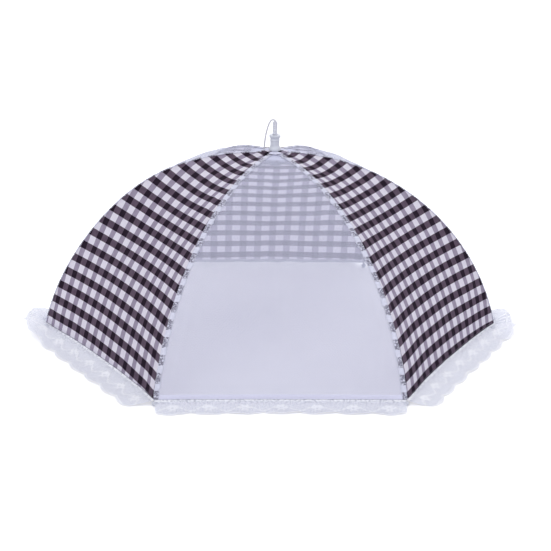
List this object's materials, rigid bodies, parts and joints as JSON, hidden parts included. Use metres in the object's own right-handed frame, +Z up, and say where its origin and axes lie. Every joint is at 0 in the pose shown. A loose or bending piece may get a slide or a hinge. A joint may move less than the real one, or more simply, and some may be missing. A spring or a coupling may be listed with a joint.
{
  "type": "mesh food cover umbrella",
  "caption": "Folding umbrella-style food cover: a six-sided dome of gingham and sheer mesh panels on hinged wire ribs, with a lace edge and a pull cord on top",
  "frame": {"origin": "on the table, under the middle of the open cover", "axes": "+Z up out of the crown; +X through the right-hand rib; -Y is the front, a mesh panel"},
  "size_m": [0.6424, 0.5768, 0.2892],
  "materials": {
    "gingham_cloth": "plain-woven cotton gingham, dark plum and white checks",
    "mesh_cloth": "sheer white net, semi-transparent",
    "seam_tape": "white woven binding, stitched",
    "lace": "white net lace with a scalloped edge",
    "rib_wire": "white coated steel wire",
    "white_plastic": "moulded, slightly glossy",
    "cord": "soft white pull cord"
  },
  "bodies": {
    "crown": {"crown_hub": "white_plastic", "crown_ring": "rib_wire", "top_collar": "white_plastic", "apex_patch": "seam_tape", "pull_cord": "cord"},
    "runner": {"runner_hub": "white_plastic", "runner_ring": "rib_wire", "latch_post": "white_plastic"},
    "right_rib": {"rib_right": "rib_wire", "tip_cap_right": "white_plastic", "seam_tape_right": "seam_tape", "back_right_mesh_left_half": "mesh_cloth", "back_right_lace_left_half": "lace", "front_right_gingham_right_half": "gingham_cloth", "front_right_lace_right_half": "lace"},
    "back_right_rib": {"rib_back_right": "rib_wire", "tip_cap_back_right": "white_plastic", "seam_tape_back_right": "seam_tape", "back_gingham_left_half": "gingham_cloth", "back_lace_left_half": "lace", "back_right_mesh_right_half": "mesh_cloth", "back_right_lace_right_half": "lace"},
    "back_left_rib": {"rib_back_left": "rib_wire", "tip_cap_back_left": "white_plastic", "seam_tape_back_left": "seam_tape", "back_left_mesh_left_half": "mesh_cloth", "back_left_lace_left_half": "lace", "back_gingham_right_half": "gingham_cloth", "back_lace_right_half": "lace"},
    "left_rib": {"rib_left": "rib_wire", "tip_cap_left": "white_plastic", "seam_tape_left": "seam_tape", "front_left_gingham_left_half": "gingham_cloth", "front_left_lace_left_half": "lace", "back_left_mesh_right_half": "mesh_cloth", "back_left_lace_right_half": "lace"},
    "front_left_rib": {"rib_front_left": "rib_wire", "tip_cap_front_left": "white_plastic", "seam_tape_front_left": "seam_tape", "front_mesh_left_half": "mesh_cloth", "front_lace_left_half": "lace", "front_left_gingham_right_half": "gingham_cloth", "front_left_lace_right_half": "lace"},
    "front_right_rib": {"rib_front_right": "rib_wire", "tip_cap_front_right": "white_plastic", "seam_tape_front_right": "seam_tape", "front_right_gingham_left_half": "gingham_cloth", "front_right_lace_left_half": "lace", "front_mesh_right_half": "mesh_cloth", "front_lace_right_half": "lace"},
    "right_stretcher": {"stretcher_right": "rib_wire"},
    "back_right_stretcher": {"stretcher_back_right": "rib_wire"},
    "back_left_stretcher": {"stretcher_back_left": "rib_wire"},
    "left_stretcher": {"stretcher_left": "rib_wire"},
    "front_left_stretcher": {"stretcher_front_left": "rib_wire"},
    "front_right_stretcher": {"stretcher_front_right": "rib_wire"}
  },
  "joints": [
    {"name": "canopy_fold", "type": "hinge", "parent": "crown", "child": "front_left_rib", "pos_m": [-0.0045, -0.00779, 0.24288], "axis": [0.866, -0.5, 0], "range_deg": [0, 46], "deforming": ["front_mesh_left_half", "front_lace_left_half", "front_left_gingham_right_half", "front_left_lace_right_half", "pull_cord"]},
    {"name": "right_rib_fold", "type": "hinge", "parent": "crown", "child": "right_rib", "pos_m": [0.009, 0, 0.24288], "axis": [0, 1, 0], "range_deg": [0, 46], "deforming": ["back_right_mesh_left_half", "back_right_lace_left_half", "front_right_gingham_right_half", "front_right_lace_right_half"]},
    {"name": "back_right_rib_fold", "type": "hinge", "parent": "crown", "child": "back_right_rib", "pos_m": [0.0045, 0.00779, 0.24288], "axis": [-0.866, 0.5, 0], "range_deg": [0, 46], "deforming": ["back_gingham_left_half", "back_lace_left_half", "back_right_mesh_right_half", "back_right_lace_right_half"]},
    {"name": "back_left_rib_fold", "type": "hinge", "parent": "crown", "child": "back_left_rib", "pos_m": [-0.0045, 0.00779, 0.24288], "axis": [-0.866, -0.5, 0], "range_deg": [0, 46], "deforming": ["back_left_mesh_left_half", "back_left_lace_left_half", "back_gingham_right_half", "back_lace_right_half"]},
    {"name": "left_rib_fold", "type": "hinge", "parent": "crown", "child": "left_rib", "pos_m": [-0.009, 0, 0.24288], "axis": [0, -1, 0], "range_deg": [0, 46], "deforming": ["front_left_gingham_left_half", "front_left_lace_left_half", "back_left_mesh_right_half", "back_left_lace_right_half"]},
    {"name": "front_right_rib_fold", "type": "hinge", "parent": "crown", "child": "front_right_rib", "pos_m": [0.0045, -0.00779, 0.24288], "axis": [0.866, 0.5, 0], "range_deg": [0, 46], "deforming": ["front_right_gingham_left_half", "front_right_lace_left_half", "front_mesh_right_half", "front_lace_right_half"]},
    {"name": "runner_slide", "type": "slide", "parent": "crown", "child": "runner", "axis": [0, 0, 1], "range_m": [-0.04207, 0]},
    {"name": "right_stretcher_swing", "type": "hinge", "parent": "runner", "child": "right_stretcher", "pos_m": [0.009, 0, 0.23164], "axis": [0, 1, 0], "range_deg": [-46, 0]},
    {"name": "back_right_stretcher_swing", "type": "hinge", "parent": "runner", "child": "back_right_stretcher", "pos_m": [0.0045, 0.00779, 0.23164], "axis": [-0.866, 0.5, 0], "range_deg": [-46, 0]},
    {"name": "back_left_stretcher_swing", "type": "hinge", "parent": "runner", "child": "back_left_stretcher", "pos_m": [-0.0045, 0.00779, 0.23164], "axis": [-0.866, -0.5, 0], "range_deg": [-46, 0]},
    {"name": "left_stretcher_swing", "type": "hinge", "parent": "runner", "child": "left_stretcher", "pos_m": [-0.009, 0, 0.23164], "axis": [0, -1, 0], "range_deg": [-46, 0]},
    {"name": "front_left_stretcher_swing", "type": "hinge", "parent": "runner", "child": "front_left_stretcher", "pos_m": [-0.0045, -0.00779, 0.23164], "axis": [0.866, -0.5, 0], "range_deg": [-46, 0]},
    {"name": "front_right_stretcher_swing", "type": "hinge", "parent": "runner", "child": "front_right_stretcher", "pos_m": [0.0045, -0.00779, 0.23164], "axis": [0.866, 0.5, 0], "range_deg": [-46, 0]}
  ],
  "couplings": [
    {"joint": "right_rib_fold", "follows": "canopy_fold", "ratio": 1},
    {"joint": "back_right_rib_fold", "follows": "canopy_fold", "ratio": 1},
    {"joint": "back_left_rib_fold", "follows": "canopy_fold", "ratio": 1},
    {"joint": "left_rib_fold", "follows": "canopy_fold", "ratio": 1},
    {"joint": "front_right_rib_fold", "follows": "canopy_fold", "ratio": 1},
    {"joint": "runner_slide", "follows": "canopy_fold", "m_per_rad": -0.052152},
    {"joint": "right_stretcher_swing", "follows": "canopy_fold", "ratio": -1},
    {"joint": "back_right_stretcher_swing", "follows": "canopy_fold", "ratio": -1},
    {"joint": "back_left_stretcher_swing", "follows": "canopy_fold", "ratio": -1},
    {"joint": "left_stretcher_swing", "follows": "canopy_fold", "ratio": -1},
    {"joint": "front_left_stretcher_swing", "follows": "canopy_fold", "ratio": -1},
    {"joint": "front_right_stretcher_swing", "follows": "canopy_fold", "ratio": -1}
  ]
}
